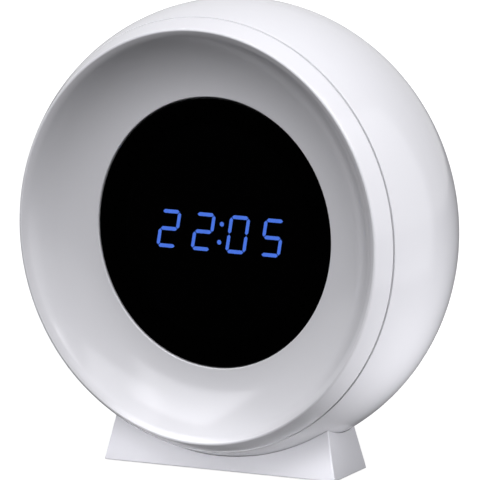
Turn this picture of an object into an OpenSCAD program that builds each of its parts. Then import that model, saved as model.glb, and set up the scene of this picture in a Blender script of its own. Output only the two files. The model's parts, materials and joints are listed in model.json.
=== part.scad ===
/* [Body] */
// Widest diameter of the round body
body_d = 110; // [106:0.5:114]
// Radius of the body's side profile ahead of its widest plane
front_arc = 40; // [38:0.5:42]
// Radius of the body's side profile behind its widest plane
back_arc = 36; // [34:0.5:38]
// Distance of the flat back behind the widest plane
back_depth = 30; // [28:0.5:31]
// Rounding between the side and the flat back
back_edge_r = 3; // [1:0.5:5]
// Height of the body's lowest point above the table
body_lift = 2.9; // [2.5:0.1:3.5]
// Wall thickness of the two mouldings
wall = 2.2; // [1.8:0.1:2.6]

/* [Front bowl] */
// Distance of the front rim ahead of the widest plane
rim_ahead = 19.7; // [19:0.1:20.4]
// Rounding on the outside of the rim
lip_out_r = 0.7; // [0.4:0.1:1]
// Rounding on the crisp edge inside the rim
lip_edge_r = 0.3; // [0.2:0.05:0.5]
// Slope at which the lip falls away from that edge
lip_slope = 25; // [20:0.5:30]
// Radius at which the lip rolls over into the dish
lip_in_r = 6; // [4:0.5:8]
// Steepest slope of the dish, where the lip ends
dish_steep = 43.8; // [42:0.1:46]
// Slope of the dish beside the lens
dish_flat = 5; // [3:0.5:8]
// Distance of the parting seam ahead of the widest plane
seam_ahead = 14.9; // [14.4:0.1:15.4]
// Width of the parting seam
seam_gap = 0.5; // [0.3:0.05:0.7]
// Thickness of the tongue that enters the rear shell
tongue_t = 1.6; // [1.2:0.1:2]
// Length of the tongue behind the seam
tongue_l = 4; // [3:0.5:6]

/* [Lens] */
// Diameter of the black lens
lens_d = 64.8; // [63:0.2:66.6]
// Thickness of the lens
lens_t = 2; // [1.5:0.1:2.5]
// How far the lens lies below the edge of the dish
lens_recess = 0.35; // [0.2:0.05:0.6]
// Chamfer on the lens's front edge
lens_chamfer = 0.25; // [0.1:0.05:0.4]
// Radial clearance of the lens in its seat
lens_gap = 0.15; // [0.1:0.05:0.3]
// Width of the shelf that the lens is stuck to
shelf_w = 6.7; // [5:0.1:7]
// Thickness of the shelf
shelf_t = 2; // [1.5:0.1:2.5]
// Thickness of the adhesive tape
tape_t = 0.2; // [0.1:0.05:0.3]

/* [Digits] */
// Height of a digit between the middles of its end strokes
digit_h = 8.35; // [7.6:0.05:9]
// Width of a digit between the middles of its side strokes
digit_w = 4.75; // [4.3:0.05:5.2]
// Width of a stroke
stroke_w = 0.85; // [0.7:0.05:1]
// Gap at the joints between strokes
stroke_gap = 0.14; // [0.08:0.02:0.2]
// Distance from digit to digit
digit_pitch = 9.65; // [9:0.05:10.2]
// Sideways lean of the digits for each unit of height
digit_lean = 0.17; // [0.1:0.01:0.2]
// Place of the digits across, from the middle of their housing
digits_across = 0.7; // [0:0.1:1]
// Place of the digits up, from the middle of their housing
digits_up = -0.25; // [-0.5:0.05:0.5]
// Diameter of a colon dot
dot_d = 1.1; // [0.9:0.05:1.3]
// Distance between the colon dots
dot_spacing = 4.4; // [4:0.1:5]
// Depth of the light guides behind the strokes
guide_depth = 1.2; // [0.8:0.1:2]
// Gap around a light guide in its pocket
guide_gap = 0.04; // [0.02:0.01:0.06]
// Width of the display housing
housing_w = 42; // [40:0.5:44]
// Height of the display housing
housing_h = 16; // [14:0.5:18]
// Depth of the display housing
housing_t = 6.8; // [6:0.1:7.5]
// Gap between the lens and the display housing
housing_gap = 0.2; // [0.1:0.05:0.5]

/* [Boards] */
// Thickness of the circuit boards
board_t = 1.6; // [1.2:0.1:2]
// Diameter of the display board
display_board_d = 62; // [61:0.1:62.4]
// Distance of the display board's screws from the axis
display_screw_r = 28.3; // [28:0.1:28.6]
// Inner diameter of the light ring board
ring_in_d = 76.8; // [76.4:0.1:78]
// Outer diameter of the light ring board
ring_out_d = 93; // [91:0.5:94]
// Number of light emitters on the ring
led_count = 12; // [8:4:16]
// Width of a light emitter
led_w = 3.5; // [2.8:0.1:4]
// Height of a light emitter above its board
led_t = 1.9; // [1.4:0.1:2.2]
// Width of the control board
control_w = 57; // [56.6:0.1:58]
// Height of the control board
control_h = 31; // [30.6:0.1:31.4]
// Height of the control board's middle from the axis
control_y = -3.5; // [-3.7:0.1:-3.3]
// Distance of the control board's screws in from its edges
control_inset = 2.8; // [2.6:0.1:3]

/* [Battery] */
// Width of the battery cell
cell_w = 44; // [40:0.5:46]
// Height of the battery cell
cell_h = 26; // [24:0.5:27]
// Thickness of the battery cell
cell_t = 7.5; // [6:0.1:8.5]
// Thickness of the foam tape behind the cell
cell_tape_t = 0.5; // [0.3:0.1:1]
// Diameter of a wire
wire_d = 1; // [0.8:0.1:1.2]

/* [Buttons] */
// Diameter of a button
button_d = 7.4; // [6.4:0.1:7.8]
// How far a button stands out of the back
button_proud = 1.2; // [0.8:0.1:2]
// Travel of a button
button_travel = 0.8; // [0.5:0.05:0.9]
// Distance from button to button
button_pitch = 12; // [11.4:0.1:12.4]
// Height of the button row from the axis
button_y = 6; // [5:0.1:6.5]
// Thickness of the flange that keeps a button in
flange_t = 1.2; // [0.8:0.1:1.4]
// Width of the flange beyond the button
flange_w = 0.9; // [0.6:0.1:1]
// Gap around a button in the back wall
button_gap = 0.2; // [0.15:0.05:0.3]
// Side of a push switch
switch_side = 6; // [5.6:0.1:6.4]
// Depth of a push switch's body
switch_t = 3.5; // [3.2:0.1:4]
// Diameter of a switch plunger
plunger_d = 3.4; // [3:0.1:3.6]
// Gap around a plunger in its switch
plunger_gap = 0.05; // [0.03:0.01:0.08]

/* [Charging socket] */
// Width of the socket's metal shell
socket_w = 8.94; // [8.9:0.02:9]
// Height of the socket's metal shell
socket_h = 3.26; // [3.2:0.02:3.3]
// Thickness of the socket's metal shell
socket_t = 0.3; // [0.25:0.05:0.35]
// Depth of the space for the plug
socket_depth = 6.2; // [5.8:0.1:6.6]
// Height of the socket from the axis
socket_y = -11; // [-11.5:0.1:-10.5]
// Gap around the socket in the back wall
socket_gap = 0.25; // [0.15:0.05:0.35]

/* [Buzzer] */
// Diameter of the buzzer
buzzer_d = 12; // [10:0.5:13]
// Height of the buzzer
buzzer_t = 5.4; // [4.5:0.1:5.8]
// Distance of the buzzer's middle in from the control board's side edge
buzzer_inset = 13; // [12.5:0.1:14.5]
// Diameter of a sound hole
sound_hole_d = 1.6; // [1:0.1:2]

/* [Screws] */
// Shank diameter of the case and stand screws
screw_d = 2.6; // [2.4:0.1:3]
// Shank diameter of the board screws
board_screw_d = 2; // [1.8:0.1:2.2]
// Length of a case screw's shank
case_screw_l = 16; // [14:0.5:17]
// Distance of the case screws from the axis
case_screw_r = 34.7; // [34.5:0.1:35]
// Diameter of the wells for the case screws
well_d = 6; // [5.6:0.1:6.4]
// Distance of the well floors behind the widest plane
well_floor = 9; // [8:0.5:11]
// Diameter of the front bowl's case posts
case_post_d = 6.4; // [6:0.1:6.6]
// Diameter of the small board posts
board_post_d = 4.6; // [4.2:0.1:5]
// Gap around a screw in its pilot hole
pilot_gap = 0.05; // [0.03:0.01:0.08]
// Gap around a screw in a hole that it passes through
pass_gap = 0.15; // [0.1:0.05:0.25]

/* [Stand] */
// Width of the stand's front edge on the table
stand_w = 65; // [63:0.2:67]
// Distance of the stand's front edge ahead of the body's widest plane
stand_front = 9.6; // [9:0.1:10.4]
// Distance of the stand's back edge behind the body's widest plane
stand_back = 12.8; // [12:0.1:14]
// Inward lean of the stand's sides for each unit of height
side_lean = 0.21; // [0.15:0.01:0.25]
// Backward lean of the stand's front for each unit of height
front_lean = 0.12; // [0.05:0.01:0.2]
// Forward lean of the stand's back for each unit of height
back_lean = 0.3; // [0.2:0.01:0.35]
// Narrowing of each side for each unit of depth
side_taper = 0.21; // [0.15:0.01:0.24]
// Gap between the stand and the body
stand_gap = 0.15; // [0.1:0.05:0.3]
// Sideways distance of the stand's screws from the middle
stand_screw_x = 14; // [13:0.5:17]
// Length of a stand screw's shank
stand_screw_l = 9; // [8:0.5:10]
// Thickness of the foot pad
pad_t = 1; // [0.8:0.1:1.2]
// How far the foot pad stands below the stand
pad_proud = 0.3; // [0.2:0.05:0.4]
// Distance of the pad in from the stand's edges
pad_inset = 2.4; // [2:0.1:4]
// Gap around the pad in its recess
pad_gap = 0.1; // [0.05:0.05:0.2]

/* [Hidden] */
$fn = 96;
eps = 0.01;
arc_steps = 20;
small_arc_steps = 6;
// An arc that follows another starts this many degrees on, so that no point is there twice
arc_start = 1;

// Centres and edges of the body's profile: the first number is the radius, the second the distance ahead
body_r = body_d / 2;
centre_z = body_r + body_lift;
front_c = body_r - front_arc;
back_c = body_r - back_arc;
lip_out_a = asin((rim_ahead - lip_out_r) / (front_arc - lip_out_r));
lip_out_c = front_c + (front_arc - lip_out_r) * cos(lip_out_a);
lip_in_c = [
    lip_out_c + (lip_in_r - lip_edge_r) * sin(lip_slope),
    rim_ahead - lip_edge_r - (lip_in_r - lip_edge_r) * cos(lip_slope)
];
back_edge_a = asin((back_depth - back_edge_r) / (back_arc - back_edge_r));
back_edge_c = back_c + (back_arc - back_edge_r) * cos(back_edge_a);
back_edge_ahead = -back_depth + back_edge_r;
back_inside = -back_depth + wall;
// Just outside the back wall, where cuts through it start
back_outside = -back_depth - eps;

// The dish: an arc from the lens's edge to the lip
lens_seat_r = lens_d / 2 + lens_gap;
dish_reach = lip_in_c[0] - lip_in_r * sin(dish_steep) - lens_seat_r;
dish_r = dish_reach / (sin(dish_steep) - sin(dish_flat));
dish_edge = lip_in_c[1] + lip_in_r * cos(dish_steep) - dish_r * (cos(dish_flat) - cos(dish_steep));
dish_c = [lens_seat_r - dish_r * sin(dish_flat), dish_edge + dish_r * cos(dish_flat)];
dish_back_r = dish_r + wall;
dish_back_start = asin((lens_seat_r + wall - dish_c[0]) / dish_back_r);
// The hollow behind the dish stops this far short of the lip
hollow_stop = 5;

// The seam
ring_edge = seam_ahead + seam_gap / 2;
shell_edge = seam_ahead - seam_gap / 2;
tongue_r = front_c + sqrt(pow(front_arc - wall, 2) - pow(ring_edge, 2));

// The lens and the stack behind it
lens_front = dish_edge - lens_recess;
lens_back = lens_front - lens_t;
shelf_front = lens_back - tape_t;
shelf_back = shelf_front - shelf_t;
shelf_in_r = lens_seat_r - shelf_w;
housing_front = lens_back - housing_gap;
board_front = housing_front - housing_t;
board_back = board_front - board_t;
housing_corner_r = 1;

// The time shown, and the strokes lit for each numeral: top, upper right, lower right, bottom, lower left,
// upper left, middle
shown = [2, 2, 0, 5];
lit_strokes = [
    [1, 1, 1, 1, 1, 1, 0], [0, 1, 1, 0, 0, 0, 0], [1, 1, 0, 1, 1, 0, 1], [1, 1, 1, 1, 0, 0, 1],
    [0, 1, 1, 0, 0, 1, 1], [1, 0, 1, 1, 0, 1, 1], [1, 0, 1, 1, 1, 1, 1], [1, 1, 1, 0, 0, 0, 0],
    [1, 1, 1, 1, 1, 1, 1], [1, 1, 1, 1, 0, 1, 1]
];

// Board fixings
board_screw_head_d = 3.8;
board_screw_head_h = 1.4;
board_screw_bite = 4.2;
board_screw_l = board_t + board_screw_bite;
display_screw_angles = [45, 135, 225, 315];
ring_screw_r = (ring_in_d + ring_out_d) / 4;
ring_screw_angles = [0, 90, 180, 270];
case_screw_angles = [45, 135, 225, 315];
well_wall = 1.3;
rear_post_d = well_d + 2 * well_wall;
post_meet = 0;
screw_head_d = 5;
screw_head_h = 1.9;
pilot_spare = 1;
board_pilot_spare = 0.25;
board_pilot_d = board_screw_d + 2 * pilot_gap;
board_pilot_l = board_screw_bite + board_pilot_spare;
pilot_d = screw_d + 2 * pilot_gap;
pass_d = screw_d + 2 * pass_gap;
board_pass_d = board_screw_d + 2 * pass_gap;

// The back wall's controls, from the back wall forwards
flange_front = back_inside + flange_t;
stem_l = 1;
plunger_tip = flange_front + stem_l;
plunger_spare = 0.2;
switch_back = plunger_tip + button_travel + plunger_spare;
plunger_inside = 1.2;
control_back = switch_back + switch_t;
control_front = control_back + board_t;
button_xs = [for (i = [0:3]) (i - 1.5) * button_pitch];
flange_d = button_d + 2 * flange_w;
stem_d = 3.2;
control_screw_x = control_w / 2 - control_inset;
control_screw_y = control_h / 2 - control_inset;
buzzer_up = 1.5;
buzzer_x = -control_w / 2 + buzzer_inset;
buzzer_y = socket_y + buzzer_up;
buzzer_mouth_d = buzzer_d / 6;
sound_circle_r = buzzer_d / 4;
socket_hole_w = socket_w + 2 * socket_gap;
socket_hole_h = socket_h + 2 * socket_gap;
board_corner_r = 1;
button_edge_r = 0.6;
tongue_inset = 1.2;
tongue_side_gap = 0.8;
blade_t = 0.7;
blade_corner_r = 0.2;
tongue_fit = 0.03;

// Small parts on the back of the display board
chip_side = 8;
chip_t = 1.4;
chip_x = -10;
parts_drop = 1;
parts_y = (cell_h + display_board_d) / 4 - parts_drop;
crystal_d = 2.1;
crystal_l = 6.2;
crystal_x = -2;
battery_socket_w = 7.5;
battery_socket_h = 5;
battery_socket_t = 4.5;
battery_socket_x = 8;
battery_socket_back = board_back - battery_socket_t;
chip_corner_r = 0.4;
cell_corner_r = 2;
tape_inset = 3;
tape_w = cell_w - 2 * tape_inset;
tape_h = cell_h - 2 * tape_inset;
wire_spacing = 2.5;
lead_angle = 67.5;
led_depth = 0.8 * led_w;
solder_inset = 1.4;
lead_in_r = display_board_d / 2 - solder_inset;
lead_out_r = ring_in_d / 2 + solder_inset;

// The ribbon between the boards
ribbon_w = 10;
ribbon_t = 0.3;
ribbon_grip = 2.5;
ribbon_gap = 0.1;
connector_w = 14;
connector_h = 4.6;
connector_t = 2.2;
connector_inset = 6.5;
display_connector_y = -display_board_d / 2 + connector_inset;
control_connector_y = control_y - control_h / 2;
ribbon_front = board_back - connector_t / 2;
ribbon_rear = control_front + connector_t / 2;
ribbon_bend_r = (ribbon_front - ribbon_rear) / 2;
ribbon_lead_in = 2;
ribbon_bend_y = min(display_connector_y, control_connector_y) - ribbon_lead_in;

// The stand
stand_bottom = pad_proud;
stand_top = 16;
stand_screw_y = 2;
stand_seat = pad_t + screw_head_h;
boss_d = 6.6;
boss_spare = 2;
boss_top = stand_seat + stand_screw_l + boss_spare;
pad_side_inset = 1.2 * pad_inset;

// Points along an arc of a circle
function arc(c, r, a0, a1, n) = [
    for (i = [0:n])
        let (a = a0 + (a1 - a0) * i / n)
        [c[0] + r * cos(a), c[1] + r * sin(a)]
];

// The body's outer profile from a place ahead to the flat back, moved out by g
function outer_profile(ahead, g) = concat(
    arc([front_c, 0], front_arc + g, asin(ahead / (front_arc + g)), 0, arc_steps),
    arc([back_c, 0], back_arc + g, -arc_start, -back_edge_a, arc_steps),
    arc([back_edge_c, back_edge_ahead], back_edge_r + g, -back_edge_a - arc_start, -90, small_arc_steps)
);

// Distance ahead of the middle of the dish's wall, at a radius
function dish_middle(r) = dish_c[1] - sqrt(pow(dish_r + wall / 2, 2) - pow(r - dish_c[0], 2));

// The section of the front bowl, round its outside, its rim, the dish and the shelf, and back behind them
function bowl_section() = concat(
    arc([front_c, 0], front_arc, asin(ring_edge / front_arc), lip_out_a, small_arc_steps),
    arc([lip_out_c, rim_ahead - lip_out_r], lip_out_r, lip_out_a + arc_start, 90, small_arc_steps),
    arc([lip_out_c, rim_ahead - lip_edge_r], lip_edge_r, 90 + arc_start, 90 + lip_slope, small_arc_steps),
    arc(lip_in_c, lip_in_r, 90 + lip_slope + arc_start, 90 + dish_steep, small_arc_steps),
    arc(dish_c, dish_r, dish_steep - 90 - arc_start, dish_flat - 90, arc_steps),
    [[lens_seat_r, shelf_front]],
    [[shelf_in_r, shelf_front]],
    [[shelf_in_r, shelf_back]],
    [[lens_seat_r + wall, shelf_back]],
    arc(dish_c, dish_back_r, dish_back_start - 90, dish_steep - hollow_stop - 90, arc_steps),
    [[tongue_r - tongue_t, dish_c[1] - dish_back_r * cos(dish_steep - hollow_stop)]],
    [[tongue_r - tongue_t, ring_edge - tongue_l]],
    [[tongue_r, ring_edge - tongue_l]],
    [[tongue_r, ring_edge]]
);

// The section of the rear shell, down its outside and back up its inside
function shell_section() = concat(
    outer_profile(shell_edge, 0),
    [[0, -back_depth]],
    [[0, back_inside]],
    arc([back_c, 0], back_arc - wall, asin(back_inside / (back_arc - wall)), -arc_start, arc_steps),
    arc([front_c, 0], front_arc - wall, 0, asin(shell_edge / (front_arc - wall)), arc_steps)
);

// Places its children in the body's own frame: first across, second up, third ahead
module in_body() {
    translate([0, 0, centre_z])
        rotate([90, 0, 0])
            children();
}

// Copies its children around the axis at a radius
module around(r, angles) {
    for (a = angles)
        rotate([0, 0, a])
            translate([r, 0, 0])
                children();
}

// Copies its children to the control board's four screw places
module at_control_screws() {
    for (x = [-1, 1], y = [-1, 1])
        translate([x * control_screw_x, control_y + y * control_screw_y, 0])
            children();
}

// A post or hole from one place ahead to another
module rod(d, from, to) {
    translate([0, 0, from])
        cylinder(d = d, h = to - from);
}

// A rectangle with rounded corners
module rounded_rectangle(w, h, r) {
    square([w - 2 * r, h], center = true);
    square([w, h - 2 * r], center = true);
    for (x = [-1, 1], y = [-1, 1])
        translate([x * (w / 2 - r), y * (h / 2 - r)])
            circle(r = r);
}

// A rounded plate from one place ahead to another
module plate(w, h, r, from, to) {
    translate([0, 0, from])
        linear_extrude(to - from)
            rounded_rectangle(w, h, r);
}

// A slot with round ends from one place ahead to another
module stadium(w, h, from, to) {
    plate(w, h, h / 2 - eps, from, to);
}

// A pan-head screw with a cross recess: its head's seat is at zero and its shank points ahead
module screw(d, l, head_d, head_h) {
    recess_w = 0.16 * head_d;
    recess_l = 0.62 * head_d;
    recess_t = 0.5 * head_h;
    rim_h = 0.5 * head_h;
    top_d = 0.72 * head_d;
    difference() {
        union() {
            rod(d, 0, l);
            translate([0, 0, -head_h])
                cylinder(d1 = top_d, d2 = head_d, h = head_h - rim_h);
            rod(head_d, -rim_h, 0);
        }
        translate([0, 0, -head_h + recess_t / 2 - eps]) {
            cube([recess_w, recess_l, recess_t], center = true);
            cube([recess_l, recess_w, recess_t], center = true);
        }
    }
}

// The body's outer form as a solid, moved out by g
module body_solid(g) {
    rotate_extrude()
        polygon(concat([[0, seam_ahead]], outer_profile(seam_ahead, g), [[0, -back_depth - g]]));
}

module front_bowl() {
    color("whitesmoke")
        in_body()
            difference() {
                union() {
                    rotate_extrude()
                        polygon(bowl_section());
                    around(case_screw_r, case_screw_angles)
                        rod(case_post_d, post_meet, dish_middle(case_screw_r - case_post_d / 2));
                    around(display_screw_r, display_screw_angles)
                        rod(board_post_d, board_front, shelf_front - shelf_t / 2);
                    around(ring_screw_r, ring_screw_angles)
                        rod(board_post_d, board_front, dish_middle(ring_screw_r - board_post_d / 2));
                }
                rod(2 * lens_seat_r, shelf_front, rim_ahead + eps);
                around(case_screw_r, case_screw_angles)
                    rod(pilot_d, post_meet - eps, case_screw_l - well_floor + pilot_spare);
                around(display_screw_r, display_screw_angles)
                    rod(board_pilot_d, board_front - eps, board_front + board_pilot_l);
                around(ring_screw_r, ring_screw_angles)
                    rod(board_pilot_d, board_front - eps, board_front + board_pilot_l);
            }
}

// The vertical bosses inside the rear shell for the stand's screws
module stand_bosses() {
    intersection() {
        body_solid(-wall / 2);
        for (x = [-1, 1])
            translate([x * stand_screw_x, -centre_z, -stand_screw_y])
                rotate([-90, 0, 0])
                    rod(boss_d, 0, boss_top);
    }
}

module rear_shell() {
    color("white")
        in_body()
            difference() {
                union() {
                    rotate_extrude()
                        polygon(shell_section());
                    around(case_screw_r, case_screw_angles)
                        rod(rear_post_d, back_inside - wall / 2, post_meet);
                    at_control_screws()
                        rod(board_post_d, back_inside - wall / 2, control_back);
                    stand_bosses();
                }
                around(case_screw_r, case_screw_angles) {
                    rod(well_d, back_outside, -well_floor);
                    rod(pass_d, -well_floor - eps, post_meet + eps);
                }
                at_control_screws()
                    rod(board_pilot_d, control_back - board_pilot_l, control_back + eps);
                for (x = button_xs)
                    translate([x, button_y, 0])
                        rod(button_d + 2 * button_gap, back_outside, back_inside + eps);
                translate([0, socket_y, 0])
                    stadium(socket_hole_w, socket_hole_h, back_outside, back_inside + eps);
                translate([buzzer_x, buzzer_y, 0]) {
                    rod(sound_hole_d, back_outside, back_inside + eps);
                    around(sound_circle_r, [for (i = [0:5]) i * 60])
                        rod(sound_hole_d, back_outside, back_inside + eps);
                }
                for (x = [-1, 1])
                    translate([x * stand_screw_x, -centre_z, -stand_screw_y])
                        rotate([-90, 0, 0])
                            rod(pilot_d, 0, stand_seat + stand_screw_l + pilot_spare);
            }
}

module case_screws() {
    color("silver")
        in_body()
            around(case_screw_r, case_screw_angles)
                translate([0, 0, -well_floor])
                    screw(screw_d, case_screw_l, screw_head_d, screw_head_h);
}

module display_lens() {
    lens_r = lens_d / 2;
    color([0.02, 0.02, 0.03])
        in_body()
            rotate_extrude()
                polygon([
                    [0, lens_back], [lens_r, lens_back], [lens_r, lens_front - lens_chamfer],
                    [lens_r - lens_chamfer, lens_front], [0, lens_front]
                ]);
}

module lens_tape() {
    color([0.08, 0.08, 0.08])
        in_body()
            difference() {
                rod(lens_d, shelf_front, lens_back);
                rod(2 * shelf_in_r, shelf_front - eps, lens_back + eps);
            }
}

// One stroke of a numeral as a leaning six-sided outline, from its middle, direction and length, grown by g
module stroke(mid, upright, length, g) {
    half = length / 2 - stroke_gap + g;
    side = stroke_w / 2 + g;
    flat = half - side;
    outline = [[-half, 0], [-flat, side], [flat, side], [half, 0], [flat, -side], [-flat, -side]];
    polygon([
        for (p = outline)
            let (q = mid + (upright ? [p[1], p[0]] : p))
            [q[0] + digit_lean * q[1], q[1]]
    ]);
}

// The strokes of all numerals that are lit, or not, grown by g
module strokes(lit, g) {
    half_h = digit_h / 2;
    half_w = digit_w / 2;
    mids = [
        [0, half_h], [half_w, half_h / 2], [half_w, -half_h / 2], [0, -half_h],
        [-half_w, -half_h / 2], [-half_w, half_h / 2], [0, 0]
    ];
    for (i = [0:3], s = [0:6])
        if (lit_strokes[shown[i]][s] == lit) {
            upright = s % 3 != 0;
            translate([(i - 1.5) * digit_pitch, 0])
                stroke(mids[s], upright, upright ? half_h : digit_w, g);
        }
}

module dots(g) {
    for (y = [-1, 1] * dot_spacing / 2)
        translate([digit_lean * y, y])
            circle(d = dot_d + 2 * g);
}

// The light guides behind the strokes, from their pockets' floors to the housing's front and a little beyond
module guides(beyond = 0) {
    in_body()
        translate([digits_across, digits_up, housing_front - guide_depth])
            linear_extrude(guide_depth + beyond)
                children();
}

module display_housing() {
    color([0.05, 0.05, 0.06])
        difference() {
            in_body()
                plate(housing_w, housing_h, housing_corner_r, board_front, housing_front);
            guides(eps) {
                strokes(1, guide_gap);
                strokes(0, guide_gap);
                dots(guide_gap);
            }
        }
}

module lit_segments() {
    color([0.35, 0.55, 0.95])
        guides()
            strokes(1, 0);
}

module unlit_segments() {
    color([0.1, 0.1, 0.14])
        guides()
            strokes(0, 0);
}

module colon_dots() {
    color([0.35, 0.55, 0.95])
        guides()
            dots(0);
}

module display_board() {
    color("seagreen")
        in_body()
            difference() {
                rod(display_board_d, board_back, board_front);
                around(display_screw_r, display_screw_angles)
                    rod(board_pass_d, board_back - eps, board_front + eps);
            }
}

// Screws through a front board, with their heads behind it
module board_screws(r, angles) {
    color("silver")
        in_body()
            around(r, angles)
                translate([0, 0, board_back])
                    screw(board_screw_d, board_screw_l, board_screw_head_d, board_screw_head_h);
}

module display_board_screws() {
    board_screws(display_screw_r, display_screw_angles);
}

module clock_chip() {
    color([0.12, 0.12, 0.13])
        in_body()
            translate([chip_x, parts_y, 0])
                plate(chip_side, chip_side, chip_corner_r, board_back - chip_t, board_back);
}

module clock_crystal() {
    color("lightgray")
        in_body()
            translate([crystal_x, parts_y - crystal_l / 2, board_back - crystal_d / 2])
                rotate([-90, 0, 0])
                    rod(crystal_d, 0, crystal_l);
}

module light_ring_board() {
    color("ivory")
        in_body()
            difference() {
                rod(ring_out_d, board_back, board_front);
                rod(ring_in_d, board_back - eps, board_front + eps);
                around(ring_screw_r, ring_screw_angles)
                    rod(board_pass_d, board_back - eps, board_front + eps);
            }
}

module light_ring_leds() {
    step = 360 / led_count;
    color("lightyellow")
        in_body()
            around(ring_screw_r, [for (i = [0:led_count - 1]) (i + 0.5) * step])
                plate(led_depth, led_w, chip_corner_r, board_front, board_front + led_t);
}

module light_ring_screws() {
    board_screws(ring_screw_r, ring_screw_angles);
}

// Two wires that arch from the display board's back to the ring's back
module light_ring_lead() {
    color("firebrick")
        in_body()
            rotate([0, 0, lead_angle])
                for (y = [-1, 1] * wire_spacing / 2)
                    translate([(lead_in_r + lead_out_r) / 2, y, board_back])
                        rotate([-90, 0, 0])
                            rotate_extrude(angle = 180)
                                translate([(lead_out_r - lead_in_r) / 2, 0])
                                    circle(d = wire_d);
}

module battery_cell() {
    color([0.72, 0.74, 0.77])
        in_body()
            plate(cell_w, cell_h, cell_corner_r, board_back - cell_tape_t - cell_t, board_back - cell_tape_t);
}

module battery_tape() {
    color("dimgray")
        in_body()
            plate(tape_w, tape_h, cell_corner_r / 2, board_back - cell_tape_t, board_back);
}

module battery_socket() {
    color("white")
        in_body()
            translate([battery_socket_x, parts_y, 0])
                plate(battery_socket_w, battery_socket_h, chip_corner_r, battery_socket_back, board_back);
}

// Two wires from the cell's top edge to the socket
module battery_lead() {
    wire_bottom = cell_h / 2;
    wire_top = parts_y - battery_socket_h / 2;
    color("firebrick")
        in_body()
            for (x = [-1, 1] * wire_spacing / 2)
                translate([battery_socket_x + x, wire_bottom, board_back - battery_socket_t / 2])
                    rotate([-90, 0, 0])
                        rod(wire_d, 0, wire_top - wire_bottom);
}

// The ribbon's edge-on outline: down from the display board, round its bend and up to the control board
function ribbon_outline() = let (
    bend_c = [ribbon_bend_y, (ribbon_front + ribbon_rear) / 2],
    half_t = ribbon_t / 2,
    front_top = display_connector_y + ribbon_grip,
    rear_top = control_connector_y + ribbon_grip
) concat(
    [[front_top, ribbon_front + half_t]],
    arc(bend_c, ribbon_bend_r + half_t, 90, 270, arc_steps),
    [[rear_top, ribbon_rear - half_t], [rear_top, ribbon_rear + half_t]],
    arc(bend_c, ribbon_bend_r - half_t, 270, 90, arc_steps),
    [[front_top, ribbon_front - half_t]]
);

module ribbon_cable() {
    color("gainsboro")
        in_body()
            translate([-ribbon_w / 2, 0, 0])
                rotate([90, 0, 90])
                    linear_extrude(ribbon_w)
                        polygon(ribbon_outline());
}

// A socket for one end of the ribbon, with its mouth facing down
module ribbon_connector(mouth, ahead) {
    slot_w = ribbon_w + 2 * ribbon_gap;
    slot_t = ribbon_t + ribbon_gap;
    difference() {
        translate([-connector_w / 2, mouth, ahead - connector_t / 2])
            cube([connector_w, connector_h, connector_t]);
        translate([-slot_w / 2, mouth - eps, ahead - slot_t / 2])
            cube([slot_w, ribbon_grip + eps, slot_t]);
    }
}

module ribbon_connectors() {
    color("tan")
        in_body() {
            ribbon_connector(display_connector_y, ribbon_front);
            ribbon_connector(control_connector_y, ribbon_rear);
        }
}

module control_board() {
    color("seagreen")
        in_body()
            difference() {
                translate([0, control_y, 0])
                    plate(control_w, control_h, board_corner_r, control_back, control_front);
                at_control_screws()
                    rod(board_pass_d, control_back - eps, control_front + eps);
            }
}

module control_board_screws() {
    color("silver")
        in_body()
            at_control_screws()
                translate([0, 0, control_front])
                    rotate([180, 0, 0])
                        screw(board_screw_d, board_screw_l, board_screw_head_d, board_screw_head_h);
}

module switch_bodies() {
    color([0.15, 0.15, 0.16])
        in_body()
            for (x = button_xs)
                translate([x, button_y, 0])
                    difference() {
                        plate(switch_side, switch_side, chip_corner_r, switch_back, control_back);
                        rod(plunger_d + 2 * plunger_gap, switch_back - eps,
                            switch_back + plunger_inside + button_travel + plunger_spare);
                    }
}

// One switch plunger, by its place in the row
module plunger(i) {
    color("gold")
        in_body()
            translate([button_xs[i], button_y, 0])
                rod(plunger_d, plunger_tip, switch_back + plunger_inside);
}

// One push button, by its place in the row: a cap with a rounded edge, its flange and its stem
module button(i) {
    cap_back = -back_depth - button_proud;
    edge = button_edge_r;
    color("gainsboro")
        in_body()
            translate([button_xs[i], button_y, 0])
                rotate_extrude()
                    polygon(concat(
                        [[0, cap_back]],
                        arc([button_d / 2 - edge, cap_back + edge], edge, -90, 0, small_arc_steps),
                        [[button_d / 2, back_inside]],
                        [[flange_d / 2, back_inside]],
                        [[flange_d / 2, flange_front]],
                        [[stem_d / 2, flange_front]],
                        [[stem_d / 2, plunger_tip]],
                        [[0, plunger_tip]]
                    ));
}

module mode_plunger() {
    plunger(0);
}

module up_plunger() {
    plunger(1);
}

module down_plunger() {
    plunger(2);
}

module light_plunger() {
    plunger(3);
}

module mode_button() {
    button(0);
}

module up_button() {
    button(1);
}

module down_button() {
    button(2);
}

module light_button() {
    button(3);
}

module socket_shell() {
    inside_w = socket_w - 2 * socket_t;
    inside_h = socket_h - 2 * socket_t;
    color("lightgray")
        in_body()
            translate([0, socket_y, 0])
                difference() {
                    stadium(socket_w, socket_h, -back_depth, control_back);
                    stadium(inside_w, inside_h, back_outside, control_back - socket_t);
                }
}

module socket_tongue() {
    inside_w = socket_w - 2 * socket_t - 2 * tongue_fit;
    inside_h = socket_h - 2 * socket_t - 2 * tongue_fit;
    blade_w = inside_w - 2 * tongue_side_gap;
    plug_floor = -back_depth + socket_depth;
    color([0.1, 0.1, 0.1])
        in_body()
            translate([0, socket_y, 0]) {
                stadium(inside_w, inside_h, plug_floor, control_back - socket_t);
                plate(blade_w, blade_t, blade_corner_r, -back_depth + tongue_inset, plug_floor + eps);
            }
}

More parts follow.
